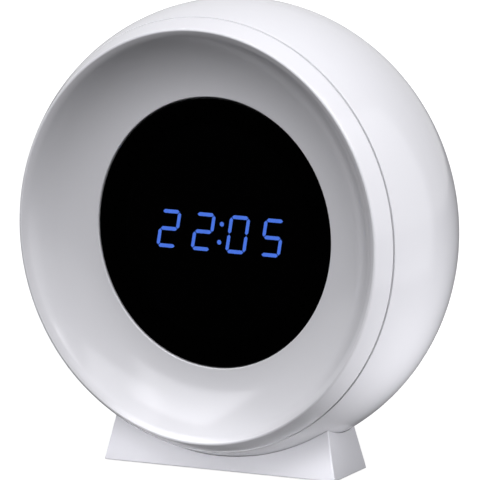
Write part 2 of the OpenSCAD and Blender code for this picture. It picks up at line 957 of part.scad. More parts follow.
module buzzer() {
    color([0.1, 0.1, 0.1])
        in_body()
            translate([buzzer_x, buzzer_y, 0])
                difference() {
                    rod(buzzer_d, control_back - buzzer_t, control_back);
                    rod(buzzer_mouth_d, control_back - buzzer_t - eps, control_back - buzzer_t / 2);
                }
}

// The stand's block before the body's seat is cut: four flat sides that lean in, narrower towards the back
module stand_block() {
    levels = [stand_bottom, stand_top];
    function front_at(z) = -stand_front + front_lean * z;
    function back_at(z) = stand_back - back_lean * z;
    function half_at(y, z) = stand_w / 2 - side_lean * z - side_taper * (y + stand_front);
    function ring(z) = [
        for (y = [front_at(z), back_at(z)], s = [-1, 1])
            [s * half_at(y, z), y, z]
    ];
    polyhedron(
        points = concat(ring(levels[0]), ring(levels[1])),
        faces = [[0, 1, 3, 2], [4, 6, 7, 5], [0, 4, 5, 1], [2, 3, 7, 6], [0, 2, 6, 4], [1, 5, 7, 3]]
    );
}

// The pad's outline, in from the stand's edges and narrower towards the back like them, grown by g
module pad_outline(g) {
    front_y = -stand_front + pad_inset;
    back_y = stand_back - pad_inset;
    front_w = stand_w / 2 - side_taper * pad_inset - pad_side_inset;
    back_w = front_w - side_taper * (back_y - front_y);
    polygon([
        [-front_w - g, front_y - g], [front_w + g, front_y - g],
        [back_w + g, back_y + g], [-back_w - g, back_y + g]
    ]);
}

module stand() {
    color("gainsboro")
        difference() {
            stand_block();
            in_body()
                body_solid(stand_gap);
            translate([0, 0, -eps])
                linear_extrude(pad_t + eps)
                    pad_outline(pad_gap);
            for (x = [-1, 1])
                translate([x * stand_screw_x, stand_screw_y, 0]) {
                    rod(screw_head_d + 2 * pass_gap, 0, stand_seat);
                    rod(pass_d, 0, stand_top);
                }
        }
}

module stand_screws() {
    color("silver")
        for (x = [-1, 1])
            translate([x * stand_screw_x, stand_screw_y, stand_seat])
                screw(screw_d, stand_screw_l, screw_head_d, screw_head_h);
}

module foot_pad() {
    color("dimgray")
        linear_extrude(pad_t)
            pad_outline(0);
}

front_bowl();
rear_shell();
case_screws();
display_lens();
lens_tape();
display_housing();
lit_segments();
unlit_segments();
colon_dots();
display_board();
display_board_screws();
clock_chip();
clock_crystal();
light_ring_board();
light_ring_leds();
light_ring_screws();
light_ring_lead();
battery_cell();
battery_tape();
battery_socket();
battery_lead();
ribbon_cable();
ribbon_connectors();
control_board();
control_board_screws();
switch_bodies();
mode_plunger();
up_plunger();
down_plunger();
light_plunger();
mode_button();
up_button();
down_button();
light_button();
socket_shell();
socket_tongue();
buzzer();
stand();
stand_screws();
foot_pad();
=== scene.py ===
import json
import math

import bmesh
import bpy
from mathutils import Matrix, Vector

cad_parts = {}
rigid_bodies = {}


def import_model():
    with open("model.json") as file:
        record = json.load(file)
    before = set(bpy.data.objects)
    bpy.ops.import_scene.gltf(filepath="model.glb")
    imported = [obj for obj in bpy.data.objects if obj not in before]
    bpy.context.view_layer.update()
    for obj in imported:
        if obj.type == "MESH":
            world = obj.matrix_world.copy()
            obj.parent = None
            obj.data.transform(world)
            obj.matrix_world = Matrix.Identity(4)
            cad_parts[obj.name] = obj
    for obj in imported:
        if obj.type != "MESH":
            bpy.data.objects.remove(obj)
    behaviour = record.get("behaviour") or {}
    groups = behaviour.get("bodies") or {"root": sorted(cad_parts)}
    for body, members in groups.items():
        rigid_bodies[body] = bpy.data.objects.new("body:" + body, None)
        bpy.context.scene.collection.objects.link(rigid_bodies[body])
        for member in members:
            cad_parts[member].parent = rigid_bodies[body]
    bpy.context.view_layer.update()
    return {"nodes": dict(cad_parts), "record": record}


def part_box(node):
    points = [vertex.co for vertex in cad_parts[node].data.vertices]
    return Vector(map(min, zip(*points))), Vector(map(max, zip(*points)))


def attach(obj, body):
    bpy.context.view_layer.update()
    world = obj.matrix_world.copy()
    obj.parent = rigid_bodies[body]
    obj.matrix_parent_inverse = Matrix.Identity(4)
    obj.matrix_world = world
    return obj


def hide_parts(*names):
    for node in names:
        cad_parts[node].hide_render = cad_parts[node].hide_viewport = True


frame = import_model()

bl_info = {
    "name": "Night Light Clock",
    "version": (1, 0, 0),
    "blender": (4, 5, 0),
    "location": "View3D > Sidebar > Clock",
    "description": "Dresses a night light clock: mouldings, smoked lens, lit digits, keys, stand and stage",
    "category": "Object",
}

MM = 0.001
FULL_TURN = 2 * math.pi
# Fineness of round work: segments of a large turned form, of a small one and of a rounded edge
LARGE_TURN = 256
SMALL_TURN = 48
EDGE_STEPS = 5
ARC_STEPS = 24
# Points closer than this are one point, and faces that meet at more than this angle keep a crisp edge
MERGE_REACH = 0.001 * MM
CRISP_ANGLE = math.radians(32)
# How far a cutting form reaches past the face that it opens
OVERCUT = 0.5 * MM
# An edge runs along an axis when the cosine of the angle between them is more than this
ALIGNED = 0.99
# How far before the dish's steepest slope the hollow behind it ends
HOLLOW_STOP = math.radians(5)
# Radii of the rings of faces on the lens's front, as shares of the flat part
FACE_RINGS = (0.98, 0.9, 0.6, 0.2, 0)

# Surfaces: the share by which the colour varies, the roughness and its spread, the relief in millimetres
# and the fineness of the grain
POLISHED = {"shade": 0.015, "roughness": 0.16, "spread": 0.04, "relief": 0.001, "grain": 2600}
MATT = {"shade": 0.03, "roughness": 0.5, "spread": 0.1, "relief": 0.006, "grain": 2200}
SATIN = {"shade": 0.03, "roughness": 0.35, "spread": 0.08, "relief": 0.003, "grain": 2600}
DULL = {"shade": 0.3, "roughness": 0.6, "spread": 0.2, "relief": 0.02, "grain": 3000}
PLAIN = {"shade": 0.12, "roughness": 0.45, "spread": 0.15, "relief": 0.006, "grain": 2000}
METAL = {"shade": 0.25, "roughness": 0.32, "spread": 0.2, "relief": 0.003, "metallic": 1.0}
BOARD = {"shade": -0.15, "roughness": 0.4, "spread": 0.15, "relief": 0.03}

RECORD = frame["record"]
BODY_OF = {node: body for body, nodes in RECORD["behaviour"]["bodies"].items() for node in nodes}
SLOT_OF = {part["node"]: part["material_slot"] for part in RECORD["subparts"]}
SLOT_COLOUR = {entry["slot"]: entry["base_color"] for entry in RECORD["materials"]}

# Places of the frame. Distances ahead are measured from the body's widest plane towards the reader.
SHELL_LOW, SHELL_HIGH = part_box("rear_shell")
CENTRE = Vector((0, 0, (SHELL_LOW.z + SHELL_HIGH.z) / 2))
BODY_R = SHELL_HIGH.x
BACK_DEPTH = SHELL_HIGH.y
RIM_AHEAD = -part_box("front_bowl")[0].y
LENS_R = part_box("display_lens")[1].x
LENS_FRONT = -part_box("display_lens")[0].y
LENS_BACK = -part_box("display_lens")[1].y
SHELF_FRONT = -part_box("lens_tape")[1].y
BOARD_FRONT = -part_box("display_board")[0].y
CONTROL_BACK = -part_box("control_board")[1].y


def length(name, description, millimetres):
    """A size that the sidebar shows."""
    return bpy.props.FloatProperty(
        name=name, description=description, default=millimetres * MM, unit="LENGTH", precision=5
    )


def turn(name, description, degrees):
    """An angle that the sidebar shows."""
    return bpy.props.FloatProperty(
        name=name, description=description, default=math.radians(degrees), subtype="ANGLE"
    )


def power(name, description, watts):
    """A lamp's power that the sidebar shows."""
    return bpy.props.FloatProperty(
        name=name, description=description, default=watts, min=0, unit="POWER"
    )


def colour(name, description, slot):
    """A colour that the sidebar shows, as the record gives it for a finish."""
    return bpy.props.FloatVectorProperty(
        name=name, description=description, default=SLOT_COLOUR[slot], subtype="COLOR", size=3, min=0, max=1
    )


class ClockSizes(bpy.types.PropertyGroup):
    """Sizes of the mouldings, the lens, the keys and the stand."""

    front_arc: length("Front arc", "Radius of the side profile ahead of the widest plane", 40)
    back_arc: length("Back arc", "Radius of the side profile behind the widest plane", 36)
    back_edge: length("Back edge", "Rounding between the side and the flat back", 3)
    wall: length("Wall", "Wall thickness of the two mouldings", 2.2)
    lip_out: length("Outer lip", "Rounding on the outside of the rim", 0.7)
    lip_edge: length("Lip edge", "Rounding on the crisp edge inside the rim", 0.3)
    lip_slope: turn("Lip slope", "Slope at which the lip falls away from that edge", 25)
    lip_in: length("Inner lip", "Radius at which the lip rolls over into the dish", 6)
    dish_steep: turn("Dish at the lip", "Steepest slope of the dish, where the lip ends", 43.8)
    dish_flat: turn("Dish at the lens", "Slope of the dish beside the lens", 5)
    seam_ahead: length("Seam place", "Distance of the parting seam ahead of the widest plane", 14.9)
    seam_gap: length("Seam width", "Width of the parting seam", 0.5)
    seam_edge: length("Seam edge", "Rounding on both edges of the parting seam", 0.12)
    tongue_t: length("Tongue thickness", "Thickness of the tongue inside the seam", 1.6)
    tongue_l: length("Tongue length", "Length of the tongue behind the seam", 4)
    seat_gap: length("Seat clearance", "Clearance round the lens in its seat", 0.15)
    seat_edge: length("Seat edge", "Rounding where the dish meets the lens's seat", 0.3)
    shelf_w: length("Shelf width", "Width of the shelf that the lens is stuck to", 6.7)
    shelf_t: length("Shelf thickness", "Thickness of the shelf", 2)
    lens_edge: length("Lens edge", "Rounding on the lens's front edge", 0.25)
    hole_edge: length("Hole edge", "Rounding on the mouths of the holes in the back", 0.3)
    key_edge: length("Key edge", "Rounding on the edge of a key", 0.6)
    key_hollow: length("Key hollow", "Depth of the finger hollow in a key", 0.3)
    stand_edge: length("Stand edge", "Rounding on the stand's edges", 0.35)
    stand_gap: length("Stand gap", "Gap between the stand and the body", 0.15)


class ClockColours(bpy.types.PropertyGroup):
    """Colours of what shows."""

    front: colour("Front bowl", "Colour of the front bowl", "opal_white")
    shell: colour("Rear shell", "Colour of the rear shell", "shell_white")
    stand: colour("Stand", "Colour of the stand", "stand_white")
    lens: colour("Lens", "Tint of the smoked lens", "lens_black")
    digits: colour("Digits", "Colour of the lit digits", "lit_blue")
    keys: colour("Keys", "Colour of the push buttons", "button_grey")
    # The dish inside the rim's crisp edge takes this share of the bowl's colour, so it shows darker than the
    # rim
    dimmed: bpy.props.FloatVectorProperty(
        name="Dimmed dish", description="Share of its light that the dish's thin wall gives back",
        default=(0.85, 0.85, 0.85), subtype="COLOR", size=3, min=0, max=1,
    )


class ClockStage(bpy.types.PropertyGroup):
    """Camera, lamps and floor."""

    azimuth: turn("Azimuth", "The camera's place round the clock, from straight ahead", 31.86)
    elevation: turn("Elevation", "The camera's height above the horizon", 8.6)
    distance: length("Distance", "The camera's distance from the clock", 4000)
    view_width: length("View width", "Width of what the camera sees at the clock", 114.42)
    rise: length("Rise", "How far the body's centre lies above the picture's centre", 3.17)
    front_power: power("Front", "Power of the softbox ahead on the left", 4.0)
    high_power: power("High", "Power of the softbox high ahead", 2.7)
    key_power: power("Key", "Power of the softbox high on the right", 5.6)
    low_power: power("Low", "Power of the small softbox low on the right", 2.6)
    back_power: power("Back", "Power of the softbox behind", 6)
    strip_power: power("Strip", "Power of the strip on the floor that lights the stand's front", 0.0031)
    card_power: power("Card", "Power of the lit card on the floor to the right", 0.0368)
    front_card_power: power("Front card", "Power of the lit card on the floor ahead on the right", 0.0053)
    wall_power: power("Wall", "Power of the bright wall on the right, which shows only in the gloss", 0.31)
    sky: bpy.props.FloatProperty(name="Sky", description="Strength of the even light", default=0.03, min=0)
    gloss: bpy.props.FloatProperty(
        name="Gloss", description="Strength of the white surroundings in the gloss", default=0.62, min=0
    )
    tint: bpy.props.FloatVectorProperty(
        name="Tint", description="Colour of the lamps", default=(0.955, 0.95, 1.0),
        subtype="COLOR", size=3, min=0, max=1,
    )


def sizes():
    return bpy.context.scene.clock_sizes


def colours():
    return bpy.context.scene.clock_colours


def arc(centre, radius, start, end, steps=ARC_STEPS):
    """Points along an arc in the body's half plane, as radius and distance ahead."""
    angles = [start + (end - start) * i / steps for i in range(steps + 1)]
    return [(centre[0] + radius * math.cos(a), centre[1] + radius * math.sin(a)) for a in angles]


def eased(before, corner, after, reach):
    """Points round a corner of an outline, which starts and ends the same reach away from it."""
    corner = Vector(corner)
    start = corner + (Vector(before) - corner).normalized() * reach
    end = corner + (Vector(after) - corner).normalized() * reach
    shares = [i / EDGE_STEPS for i in range(EDGE_STEPS + 1)]
    return [tuple(start * (1 - t) ** 2 + corner * 2 * t * (1 - t) + end * t ** 2) for t in shares]


def lathe(bm, outline, centre=CENTRE, closed=False, steps=LARGE_TURN):
    """Turns an outline round a line along Y. An open outline starts and ends on that line."""
    verts = [bm.verts.new((centre.x + radius, centre.y - ahead, centre.z)) for radius, ahead in outline]
    ends = verts[1:] + verts[:1] if closed else verts[1:]
    edges = [bm.edges.new(pair) for pair in zip(verts, ends)]
    bmesh.ops.spin(
        bm, geom=verts + edges, cent=centre, axis=(0, 1, 0), angle=FULL_TURN, steps=steps, use_merge=True
    )
    bmesh.ops.remove_doubles(bm, verts=bm.verts, dist=MERGE_REACH)


def rod(bm, place, diameter, start, end):
    """A round bar along Y at a place across and up, from one distance ahead to another."""
    middle = Vector((place[0], -(start + end) / 2, CENTRE.z + place[1]))
    matrix = Matrix.Translation(middle) @ Matrix.Rotation(math.pi / 2, 4, "X")
    bmesh.ops.create_cone(
        bm, cap_ends=True, segments=SMALL_TURN, radius1=diameter / 2, radius2=diameter / 2,
        depth=abs(end - start), matrix=matrix,
    )


def pillar(bm, place, diameter, foot, top):
    """A round bar upright at a place across and behind, from one height to another."""
    bmesh.ops.create_cone(
        bm, cap_ends=True, segments=SMALL_TURN, radius1=diameter / 2, radius2=diameter / 2,
        depth=top - foot, matrix=Matrix.Translation((*place, (foot + top) / 2)),
    )


def round_edges(bm, edges, reach, steps):
    """Rounds edges, from the same reach on both sides of each."""
    bmesh.ops.bevel(
        bm, geom=edges, offset=reach, affect="EDGES", segments=steps, profile=0.5, material=-1
    )


def slab(bm, low, high, rounding, along):
    """A block between two corners, with its edges along one axis rounded."""
    size = Vector(high) - Vector(low)
    matrix = Matrix.Translation((Vector(high) + Vector(low)) / 2) @ Matrix.Diagonal((*size, 1))
    made = bmesh.ops.create_cube(bm, size=1, matrix=matrix)["verts"]
    # Each edge once, in the order of the corners, so that every run builds the same mesh
    edges = dict.fromkeys(edge for vert in made for edge in vert.link_edges)
    lengthwise = [e for e in edges if abs((e.verts[0].co - e.verts[1].co).normalized()[along]) > ALIGNED]
    round_edges(bm, lengthwise, rounding, 2 * EDGE_STEPS)


def to_piece(bm, name):
    """A finished mesh as an object at the origin."""
    bmesh.ops.recalc_face_normals(bm, faces=bm.faces)
    mesh = bpy.data.meshes.new(name)
    bm.to_mesh(mesh)
    bm.free()
    piece = bpy.data.objects.new(name, mesh)
    bpy.context.scene.collection.objects.link(piece)
    return piece


def combine(piece, tool, operation):
    """Fuses a tool with a piece, or cuts it out of the piece, and removes the tool."""
    cut = piece.modifiers.new("Combine", "BOOLEAN")
    cut.object = tool
    cut.operation = operation
    cut.solver = "EXACT"
    graph = bpy.context.evaluated_depsgraph_get()
    mesh = bpy.data.meshes.new_from_object(piece.evaluated_get(graph))
    piece.modifiers.clear()
    piece.data = mesh
    bpy.data.objects.remove(tool)


def shade(piece):
    """Smooth faces with crisp edges at corners, weighted so that flat faces stay flat."""
    bm = bmesh.new()
    bm.from_mesh(piece.data)
    bmesh.ops.remove_doubles(bm, verts=bm.verts, dist=MERGE_REACH)
    for face in bm.faces:
        face.smooth = True
    for edge in bm.edges:
        edge.smooth = edge.calc_face_angle(0) < CRISP_ANGLE
    bm.to_mesh(piece.data)
    bm.free()
    weighting = piece.modifiers.new("Flat faces", "WEIGHTED_NORMAL")
    weighting.keep_sharp = True


def dress(piece, node):
    """Gives a piece its finish and body, in place of a frame node."""
    shade(piece)
    piece.data.materials.clear()
    piece.data.materials.append(bpy.data.materials[SLOT_OF[node]])
    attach(piece, BODY_OF[node])
    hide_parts(node)


def group_ends(group):
    """The input and output nodes of a new node group."""
    return group.nodes.new("NodeGroupInput"), group.nodes.new("NodeGroupOutput")


def crisp_smoothing():
    """A modifier's node group that joins a frame node's triangles and smooths all but its corners."""
    group = bpy.data.node_groups.new("Frame smoothing", "GeometryNodeTree")
    group.interface.new_socket("Mesh", in_out="INPUT", socket_type="NodeSocketGeometry")
    group.interface.new_socket("Mesh", in_out="OUTPUT", socket_type="NodeSocketGeometry")
    source, result = group_ends(group)
    merge = group.nodes.new("GeometryNodeMergeByDistance")
    merge.inputs["Distance"].default_value = MERGE_REACH
    smooth = group.nodes.new("GeometryNodeSetShadeSmooth")
    crisp = group.nodes.new("GeometryNodeSetShadeSmooth")
    crisp.domain = "EDGE"
    crisp.inputs["Shade Smooth"].default_value = False
    angle = group.nodes.new("GeometryNodeInputMeshEdgeAngle")
    steep = group.nodes.new("FunctionNodeCompare")
    steep.inputs["B"].default_value = CRISP_ANGLE
    group.links.new(source.outputs["Mesh"], merge.inputs["Geometry"])
    group.links.new(merge.outputs["Geometry"], smooth.inputs["Geometry"])
    group.links.new(smooth.outputs["Geometry"], crisp.inputs["Geometry"])
    group.links.new(angle.outputs["Unsigned Angle"], steep.inputs["A"])
    group.links.new(steep.outputs["Result"], crisp.inputs["Selection"])
    group.links.new(crisp.outputs["Geometry"], result.inputs["Mesh"])
    return group


def object_place(tree):
    """A surface point's place in the object's own coordinates."""
    return tree.nodes.new("ShaderNodeTexCoord").outputs["Object"]


def effect_group(name, inputs, outputs):
    """A shader node group with named float or colour sockets, its two ends and its coordinates."""
    group = bpy.data.node_groups.new(name, "ShaderNodeTree")
    for title, kind in inputs:
        group.interface.new_socket(title, in_out="INPUT", socket_type=f"NodeSocket{kind}")
    for title, kind in outputs:
        group.interface.new_socket(title, in_out="OUTPUT", socket_type=f"NodeSocket{kind}")
    source, result = group_ends(group)
    return group, source, result, object_place(group)


def feed(tree, socket, value):
    """Links another node's socket to a socket, or sets it to a plain value."""
    if isinstance(value, bpy.types.NodeSocket):
        tree.links.new(value, socket)
    else:
        socket.default_value = value


def noise(tree, place, scale, detail=2.0):
    """A noise texture on a place, whose scale is a number or another node's socket."""
    texture = tree.nodes.new("ShaderNodeTexNoise")
    texture.inputs["Detail"].default_value = detail
    tree.links.new(place, texture.inputs["Vector"])
    feed(tree, texture.inputs["Scale"], scale)
    return texture.outputs["Fac"]


def maths(tree, operation, first, second):
    """A sum, product or like step between sockets or numbers."""
    node = tree.nodes.new("ShaderNodeMath")
    node.operation = operation
    for socket, value in zip(node.inputs, (first, second)):
        feed(tree, socket, value)
    return node.outputs["Value"]


def tinted(tree, factor, first, second, blend="MIX"):
    """A blend of two colours by a factor, each a socket or a colour."""
    node = tree.nodes.new("ShaderNodeMix")
    node.data_type = "RGBA"
    node.blend_type = blend
    tree.links.new(factor, node.inputs["Factor"])
    colour_inputs = [socket for socket in node.inputs if socket.type == "RGBA"]
    for socket, value in zip(colour_inputs, (first, second)):
        feed(tree, socket, value)
    return [socket for socket in node.outputs if socket.type == "RGBA"][0]


def surface_group(name, first, second, *more):
    """An effect group for a surface: two colours, a roughness with its spread, and more numbers by name."""
    numbers = [(title, "Float") for title in ("Roughness", "Spread", *more)]
    outputs = [("Color", "Color"), ("Roughness", "Float"), ("Height", "Float")]
    return effect_group(name, [(first, "Color"), (second, "Color"), *numbers], outputs)


def join_surface(group, source, result, mix, grain, height):
    """Links a surface's outputs: colours mixed by one pattern, roughness swung by another, and a height."""
    first, second = source.outputs[0], source.outputs[1]
    swing = maths(group, "MULTIPLY", maths(group, "SUBTRACT", grain, 0.5), source.outputs["Spread"])
    group.links.new(tinted(group, mix, first, second), result.inputs["Color"])
    group.links.new(maths(group, "ADD", source.outputs["Roughness"], swing), result.inputs["Roughness"])
    group.links.new(height, result.inputs["Height"])


def moulded_grain():
    """Moulded plastic: faint cloudiness in the colour, a fine grain in the gloss and the surface."""
    group, source, result, place = surface_group("Moulded grain", "Light", "Dark", "Grain")
    clouds = noise(group, place, scale=60.0, detail=3.0)
    grain = noise(group, place, source.outputs["Grain"])
    join_surface(group, source, result, mix=clouds, grain=grain, height=grain)
    return group


def dish_dimming(edge, inside):
    """A mask for the dish's darker colour: one inside an edge radius, and zero on the rim outside it."""
    group, _, result, place = effect_group("Dimmed dish", [], [("Mask", "Float")])
    parts = group.nodes.new("ShaderNodeSeparateXYZ")
    group.links.new(place, parts.inputs["Vector"])
    across = maths(group, "POWER", parts.outputs["X"], 2.0)
    up = maths(group, "POWER", maths(group, "SUBTRACT", parts.outputs["Z"], CENTRE.z), 2.0)
    radius = maths(group, "SQRT", maths(group, "ADD", across, up), 0.0)
    step = group.nodes.new("ShaderNodeMapRange")
    step.interpolation_type = "SMOOTHSTEP"
    step.inputs["From Min"].default_value = edge
    step.inputs["From Max"].default_value = inside
    group.links.new(radius, step.inputs["Value"])
    group.links.new(step.outputs["Result"], result.inputs["Mask"])
    return group


def brushed_lines():
    """Drawn metal: long fine scratches along one axis in the gloss and the colour."""
    group, source, result, place = surface_group("Brushed lines", "Light", "Dark")
    stretch = group.nodes.new("ShaderNodeMapping")
    stretch.inputs["Scale"].default_value = (9000, 400, 9000)
    group.links.new(place, stretch.inputs["Vector"])
    lines = noise(group, stretch.outputs["Vector"], scale=1.0, detail=3.0)
    join_surface(group, source, result, mix=lines, grain=lines, height=lines)
    return group


def copper_tracks():
    """A circuit board: raised tracks under the mask, which show a little lighter."""
    group, source, result, place = surface_group("Copper tracks", "Mask", "Track")
    flat = group.nodes.new("ShaderNodeMapping")
    flat.inputs["Rotation"].default_value = (math.pi / 2, 0, 0)
    flat.inputs["Scale"].default_value = (300, 300, 300)
    group.links.new(place, flat.inputs["Vector"])
    bricks = group.nodes.new("ShaderNodeTexBrick")
    bricks.inputs["Scale"].default_value = 1.0
    bricks.inputs["Mortar Size"].default_value = 0.09
    group.links.new(flat.outputs["Vector"], bricks.inputs["Vector"])
    tracks = bricks.outputs["Fac"]
    grain = noise(group, place, scale=2500.0)
    join_surface(group, source, result, mix=tracks, grain=grain, height=tracks)
    return group


def darker(rgb, share):
    """A colour as four numbers, darkened by a share."""
    return (*(channel * (1 - share) for channel in rgb), 1)


def new_material(name):
    """A new material, its node tree and its shader."""
    material = bpy.data.materials.new(name)
    material.use_nodes = True
    return material, material.node_tree, material.node_tree.nodes["Principled BSDF"]


def finish(slot, group, rgb, shade, roughness, spread, relief, grain=None, metallic=0.0):
    """A material from an effect group, with its relief in millimetres."""
    _, tree, shader = new_material(slot)
    effect = tree.nodes.new("ShaderNodeGroup")
    effect.node_tree = group
    effect.inputs[0].default_value = (*rgb, 1)
    effect.inputs[1].default_value = darker(rgb, shade)
    effect.inputs["Roughness"].default_value = roughness
    effect.inputs["Spread"].default_value = spread
    if grain:
        effect.inputs["Grain"].default_value = grain
    bump = tree.nodes.new("ShaderNodeBump")
    bump.inputs["Strength"].default_value = 1.0
    bump.inputs["Distance"].default_value = relief * MM
    tree.links.new(effect.outputs["Color"], shader.inputs["Base Color"])
    tree.links.new(effect.outputs["Roughness"], shader.inputs["Roughness"])
    tree.links.new(effect.outputs["Height"], bump.inputs["Height"])
    tree.links.new(bump.outputs["Normal"], shader.inputs["Normal"])
    shader.inputs["Metallic"].default_value = metallic
    return shader


def smoked_lens():
    """A polished dark lens, which lets a little of the digits' light through."""
    acrylic_ior = 1.49
    mirror_share = 0.15
    _, tree, shader = new_material("lens_black")
    tint = colours().lens
    haze = noise(tree, object_place(tree), scale=40.0)
    smoke = tinted(tree, haze, (*tint, 1), darker(tint, share=0.04))
    tree.links.new(smoke, shader.inputs["Base Color"])
    shader.inputs["Roughness"].default_value = 0.0
    shader.inputs["Transmission Weight"].default_value = 1.0
    shader.inputs["IOR"].default_value = acrylic_ior
    shader.inputs["Specular Tint"].default_value = (mirror_share, mirror_share, mirror_share, 1)


def lit_digits():
    """Light guides that glow, a little brighter in patches, strong enough to show through the lens."""
    material, tree, shader = new_material("lit_blue")
    material.cycles.emission_sampling = "NONE"
    blue = colours().digits
    patches = noise(tree, object_place(tree), scale=900.0)
    glow = tinted(tree, patches, (*blue, 1), darker(blue, share=0.25))
    tree.links.new(glow, shader.inputs["Emission Color"])
    tree.links.new(glow, shader.inputs["Base Color"])
    shader.inputs["Roughness"].default_value = 0.4
    shader.inputs["Emission Strength"].default_value = 1.0 / max(colours().lens)


class CLOCK_OT_finishes(bpy.types.Operator):
    """Make the finishes and give each frame node its own"""

    bl_idname = "clock.finishes"
    bl_label = "Finishes"

    def execute(self, context):
        bpy.data.batch_remove(bpy.data.materials)
        mould, brushed, tracks = moulded_grain(), brushed_lines(), copper_tracks()
        tint = colours()
        # The front bowl's colour is made darker on the dish, inside the rim's crisp edge
        self.dimmed(finish("opal_white", mould, tint.front, **POLISHED))
        finish("shell_white", mould, tint.shell, **POLISHED)
        finish("stand_white", mould, tint.stand, **MATT)
        finish("button_grey", mould, tint.keys, **SATIN)
        smoked_lens()
        lit_digits()
        for group, surface, slots in (
            (mould, DULL, ("tape_black", "housing_black", "unlit_grey", "chip_black", "pad_rubber")),
            (mould, PLAIN, ("led_cream", "wire_red", "connector_cream", "plunger_amber", "ribbon_white")),
            (brushed, METAL, ("screw_steel", "socket_steel", "cell_foil")),
            (tracks, BOARD, ("board_green", "board_white")),
        ):
            for slot in slots:
                finish(slot, group, SLOT_COLOUR[slot], **surface)
        smoothing = crisp_smoothing()
        for name, node in frame["nodes"].items():
            node.data.materials.clear()
            node.data.materials.append(bpy.data.materials[SLOT_OF[name]])
            node.modifiers.new("Smoothing", "NODES").node_group = smoothing
        return {"FINISHED"}

    def dimmed(self, shader):
        """Makes the dish's colour darker than the rim's, inside the rim's crisp edge."""
        tree = shader.id_data
        mask = tree.nodes.new("ShaderNodeGroup")
        rim_r = dish_form()[3][1]
        mask.node_tree = dish_dimming(rim_r, rim_r - sizes().lip_edge)
        full = shader.inputs["Base Color"].links[0].from_socket
        veiled = tinted(tree, mask.outputs["Mask"], full, (*colours().dimmed, 1), "MULTIPLY")
        tree.links.new(veiled, shader.inputs["Base Color"])


def body_centres():
    """Radii of the centres of the front and the back side arcs."""
    return BODY_R - sizes().front_arc, BODY_R - sizes().back_arc


def back_edge_turn():
    """The angle at which the side arc meets the rounding of the flat back, and that rounding's radius."""
    s = sizes()
    reach = s.back_arc - s.back_edge
    angle = math.asin((BACK_DEPTH - s.back_edge) / reach)
    return angle, body_centres()[1] + reach * math.cos(angle)


def side_outline(ahead, grown=0.0):
    """The body's outside from a place ahead to the flat back, moved out by a distance."""
    s = sizes()
    front_c, back_c = body_centres()
    angle, edge_c = back_edge_turn()
    front_arc = s.front_arc + grown
    return (
        arc((front_c, 0), front_arc, math.asin(ahead / front_arc), 0)[:-1]
        + arc((back_c, 0), s.back_arc + grown, 0, -angle)[:-1]
        + arc((edge_c, s.back_edge - BACK_DEPTH), s.back_edge + grown, -angle, -math.pi / 2, EDGE_STEPS * 2)
    )


def dish_form():
    """The dish's arc: its centre, radius and edge beside the lens. Then the lip's turn, radius and roll."""
    s = sizes()
    front_c = body_centres()[0]
    lip_turn = math.asin((RIM_AHEAD - s.lip_out) / (s.front_arc - s.lip_out))
    lip_c = front_c + (s.front_arc - s.lip_out) * math.cos(lip_turn)
    roll = s.lip_in - s.lip_edge
    roll_c = (lip_c + roll * math.sin(s.lip_slope), RIM_AHEAD - s.lip_edge - roll * math.cos(s.lip_slope))
    seat_r = LENS_R + s.seat_gap
    reach = roll_c[0] - s.lip_in * math.sin(s.dish_steep) - seat_r
    radius = reach / (math.sin(s.dish_steep) - math.sin(s.dish_flat))
    drop = radius * (math.cos(s.dish_flat) - math.cos(s.dish_steep))
    edge = roll_c[1] + s.lip_in * math.cos(s.dish_steep) - drop
    centre = (seat_r - radius * math.sin(s.dish_flat), edge + radius * math.cos(s.dish_flat))
    return centre, radius, (seat_r, edge), (lip_turn, lip_c, roll_c)


def bowl_outline():
    """The front bowl's section: its outside, rim, dish, lens seat and shelf, then back behind them."""
    s = sizes()
    quarter = math.pi / 2
    front_c = body_centres()[0]
    dish_c, dish_r, (seat_r, edge), (lip_turn, lip_c, roll_c) = dish_form()
    ring_edge = s.seam_ahead + s.seam_gap / 2
    inside_arc = s.front_arc - s.wall
    tongue_r = front_c + math.sqrt(inside_arc ** 2 - ring_edge ** 2)
    back_r = dish_r + s.wall
    back_start = math.asin((seat_r + s.wall - dish_c[0]) / back_r)
    back_end = s.dish_steep - HOLLOW_STOP
    hollow_top = dish_c[1] - back_r * math.cos(back_end)
    side = arc((front_c, 0), s.front_arc, math.asin(ring_edge / s.front_arc), lip_turn, 2 * EDGE_STEPS)
    dish = arc(dish_c, dish_r, s.dish_steep - quarter, s.dish_flat - quarter, 2 * ARC_STEPS)
    return (
        eased((tongue_r, ring_edge), side[0], side[1], s.seam_edge)
        + side[1:]
        + arc((lip_c, RIM_AHEAD - s.lip_out), s.lip_out, lip_turn, quarter, 2 * EDGE_STEPS)[1:]
        + arc((lip_c, RIM_AHEAD - s.lip_edge), s.lip_edge, quarter, quarter + s.lip_slope, EDGE_STEPS)[1:]
        + arc(roll_c, s.lip_in, quarter + s.lip_slope, quarter + s.dish_steep, 2 * EDGE_STEPS)[1:]
        + dish[1:-1]
        + eased(dish[-2], (seat_r, edge), (seat_r, SHELF_FRONT), s.seat_edge)
        + [(seat_r, SHELF_FRONT), (seat_r - s.shelf_w, SHELF_FRONT)]
        + [(seat_r - s.shelf_w, SHELF_FRONT - s.shelf_t), (seat_r + s.wall, SHELF_FRONT - s.shelf_t)]
        + arc(dish_c, back_r, back_start - quarter, back_end - quarter)
        + [(tongue_r - s.tongue_t, hollow_top), (tongue_r - s.tongue_t, ring_edge - s.tongue_l)]
        + [(tongue_r, ring_edge - s.tongue_l), (tongue_r, ring_edge)]
    )


